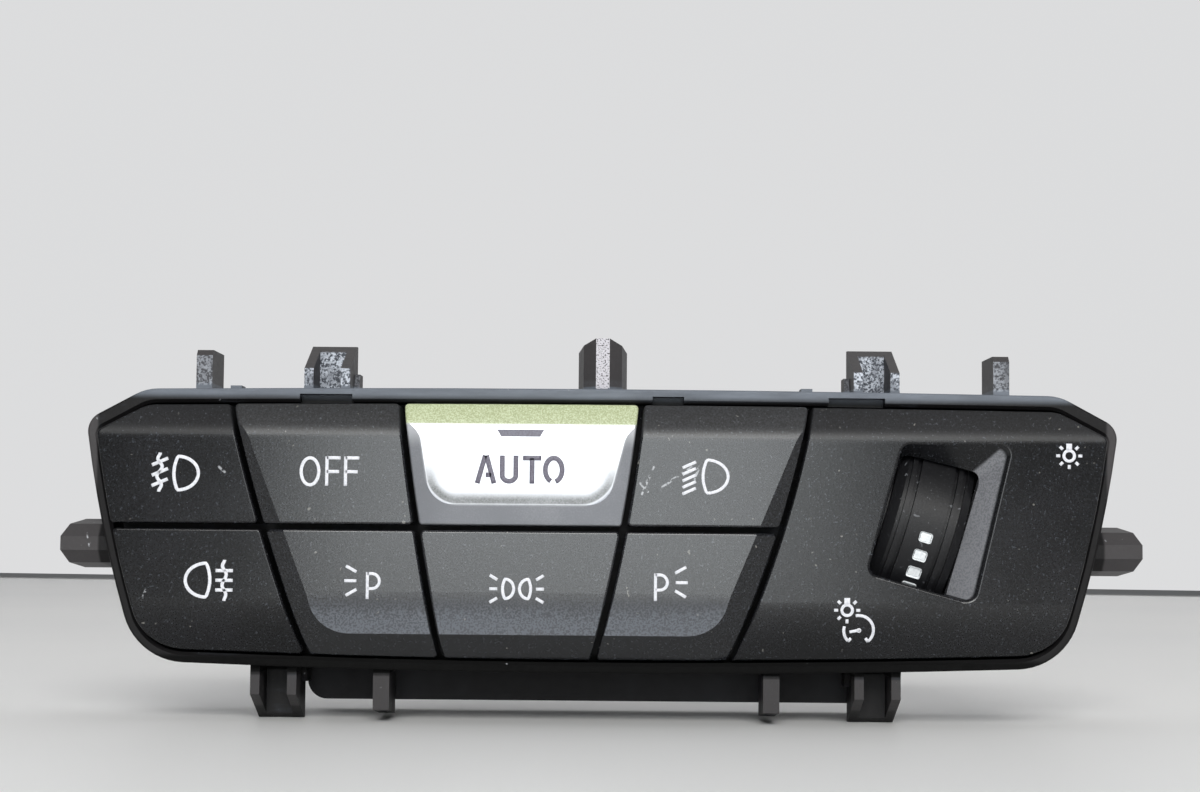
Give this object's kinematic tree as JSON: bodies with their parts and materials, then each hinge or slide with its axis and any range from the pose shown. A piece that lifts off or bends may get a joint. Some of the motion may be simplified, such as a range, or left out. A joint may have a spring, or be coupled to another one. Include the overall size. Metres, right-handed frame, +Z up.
{
  "type": "headlight switch",
  "caption": "Dashboard headlight switch: push buttons in two rows round a silver automatic button, a dimmer thumbwheel and a rear plug socket, in a clip-in frame.",
  "frame": {"origin": "under the middle of the module's box, at the tips of its lower clips", "axes": "+X to the right as seen by the driver, +Y into the dashboard, +Z up"},
  "size_m": [0.1342, 0.0344, 0.0478],
  "materials": {
    "frame_plastic": "fine moulded grain",
    "button_plastic": "matt with a fine sparkle",
    "silver_button": "satin silver paint",
    "wheel_plastic": "soft-touch satin",
    "steel": "ground",
    "spring_steel": "rolled",
    "silicone": "milky silicone",
    "board_laminate": "solder mask over glass laminate",
    "lamp_plastic": "moulded lamp body",
    "chip_plastic": "moulded",
    "capacitor_can": "drawn can",
    "screen_plastic": "white moulded",
    "barrier_plastic": "moulded",
    "connector_plastic": "moulded",
    "pin_metal": "tinned",
    "guide_plastic": "clear moulded",
    "cover_plastic": "fine moulded grain"
  },
  "bodies": {
    "housing": {"front_frame": "frame_plastic", "wheel_panel": "button_plastic", "detent_spring": "spring_steel", "light_screen": "screen_plastic", "key_mat": "silicone", "circuit_board": "board_laminate", "board_lamps": "lamp_plastic", "controller_chip": "chip_plastic", "capacitors": "capacitor_can", "light_barrier": "barrier_plastic", "connector_header": "connector_plastic", "connector_pins": "pin_metal", "bulb_light_guide": "guide_plastic", "dimmer_light_guide": "guide_plastic", "rear_cover": "cover_plastic"},
    "wheel": {"dimmer_wheel": "wheel_plastic", "wheel_axle": "steel"},
    "fog_front": {"fog_front_button": "button_plastic"},
    "fog_rear": {"fog_rear_button": "button_plastic"},
    "off": {"off_button": "button_plastic"},
    "auto": {"auto_button": "silver_button"},
    "low_beam": {"low_beam_button": "button_plastic"},
    "parking_left": {"parking_left_button": "button_plastic"},
    "side_light": {"side_light_button": "button_plastic"},
    "parking_right": {"parking_right_button": "button_plastic"}
  },
  "joints": [
    {"name": "fog_front_press", "type": "slide", "parent": "housing", "child": "fog_front", "axis": [0, 1, 0], "range_m": [0, 0.0012], "stiffness_N_per_m": 2000, "deforming": ["key_mat"]},
    {"name": "fog_rear_press", "type": "slide", "parent": "housing", "child": "fog_rear", "axis": [0, 1, 0], "range_m": [0, 0.0012], "stiffness_N_per_m": 2000, "deforming": ["key_mat"]},
    {"name": "off_press", "type": "slide", "parent": "housing", "child": "off", "axis": [0, 1, 0], "range_m": [0, 0.0012], "stiffness_N_per_m": 2000, "deforming": ["key_mat"]},
    {"name": "auto_press", "type": "slide", "parent": "housing", "child": "auto", "axis": [0, 1, 0], "range_m": [0, 0.0012], "stiffness_N_per_m": 2000, "deforming": ["key_mat"]},
    {"name": "low_beam_press", "type": "slide", "parent": "housing", "child": "low_beam", "axis": [0, 1, 0], "range_m": [0, 0.0012], "stiffness_N_per_m": 2000, "deforming": ["key_mat"]},
    {"name": "parking_left_press", "type": "slide", "parent": "housing", "child": "parking_left", "axis": [0, 1, 0], "range_m": [0, 0.0012], "stiffness_N_per_m": 2000, "deforming": ["key_mat"]},
    {"name": "side_light_press", "type": "slide", "parent": "housing", "child": "side_light", "axis": [0, 1, 0], "range_m": [0, 0.0012], "stiffness_N_per_m": 2000, "deforming": ["key_mat"]},
    {"name": "parking_right_press", "type": "slide", "parent": "housing", "child": "parking_right", "axis": [0, 1, 0], "range_m": [0, 0.0012], "stiffness_N_per_m": 2000, "deforming": ["key_mat"]},
    {"name": "dimmer_turn", "type": "hinge", "parent": "housing", "child": "wheel", "pos_m": [0.0395, -0.0048, 0.0246], "axis": [0.9588, 0, -0.284], "range_deg": [-45, 45], "deforming": ["detent_spring"]}
  ]
}
